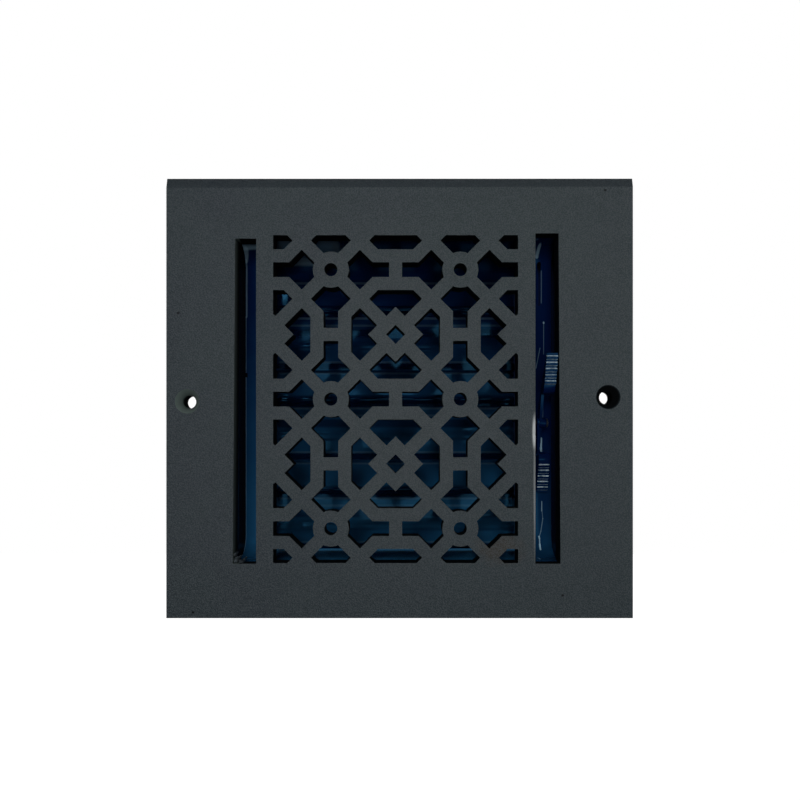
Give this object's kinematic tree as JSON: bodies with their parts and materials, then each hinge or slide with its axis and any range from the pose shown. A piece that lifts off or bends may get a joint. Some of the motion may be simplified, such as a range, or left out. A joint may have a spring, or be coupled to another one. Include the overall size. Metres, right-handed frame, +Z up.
{
  "type": "air vent grille",
  "caption": "Rectangular cast wall or floor register: pierced lattice plate with countersunk holes and a louvred sheet-metal damper worked by a thumb lever.",
  "frame": {"origin": "middle of the plate, in the plane of the wall that the rim's back lies on", "axes": "+X to the right for a person in the room, +Y into the wall and duct, +Z up; the front face looks along -Y"},
  "size_m": [0.2032, 0.0511, 0.1918],
  "materials": {
    "cast_plate": "satin black powder coat over sand-cast grain",
    "damper_paint": "gloss blue-black stoving paint",
    "screw_steel": "blackened steel"
  },
  "bodies": {
    "vent": {"grille_plate": "cast_plate", "damper_box": "damper_paint", "pivot_channel_left": "damper_paint", "pivot_channel_right": "damper_paint", "damper_screw_top_left": "screw_steel", "damper_screw_bottom_left": "screw_steel", "damper_screw_top_right": "screw_steel", "damper_screw_bottom_right": "screw_steel", "lever_pin": "screw_steel"},
    "lever": {"thumb_lever": "damper_paint"},
    "tie_bar": {"tie_bar": "damper_paint"},
    "louvre_top": {"louvre_top": "damper_paint"},
    "louvre_middle": {"louvre_middle": "damper_paint"},
    "louvre_bottom": {"louvre_bottom": "damper_paint"}
  },
  "joints": [
    {"name": "lever_rock", "type": "hinge", "parent": "vent", "child": "lever", "pos_m": [0.0663, 0.0039, -0.0103], "axis": [-1, 0, 0], "range_deg": [0, 29]},
    {"name": "tie_bar_slide", "type": "slide", "parent": "vent", "child": "tie_bar", "axis": [0, 0, -1], "range_m": [0, 0.008]},
    {"name": "louvre_top_turn", "type": "hinge", "parent": "vent", "child": "louvre_top", "pos_m": [-0.0005, 0.02576, 0.0407], "axis": [1, 0, 0], "range_deg": [0, 72.1]},
    {"name": "louvre_middle_turn", "type": "hinge", "parent": "vent", "child": "louvre_middle", "pos_m": [-0.0005, 0.02576, -0.0045], "axis": [1, 0, 0], "range_deg": [0, 72.1]},
    {"name": "louvre_bottom_turn", "type": "hinge", "parent": "vent", "child": "louvre_bottom", "pos_m": [-0.0005, 0.02576, -0.0497], "axis": [1, 0, 0], "range_deg": [0, 72.1]}
  ],
  "couplings": [
    {"joint": "tie_bar_slide", "follows": "lever_rock", "m_per_rad": 0.015794},
    {"joint": "louvre_top_turn", "follows": "lever_rock", "ratio": 2.4828},
    {"joint": "louvre_middle_turn", "follows": "lever_rock", "ratio": 2.4828},
    {"joint": "louvre_bottom_turn", "follows": "lever_rock", "ratio": 2.4828}
  ]
}
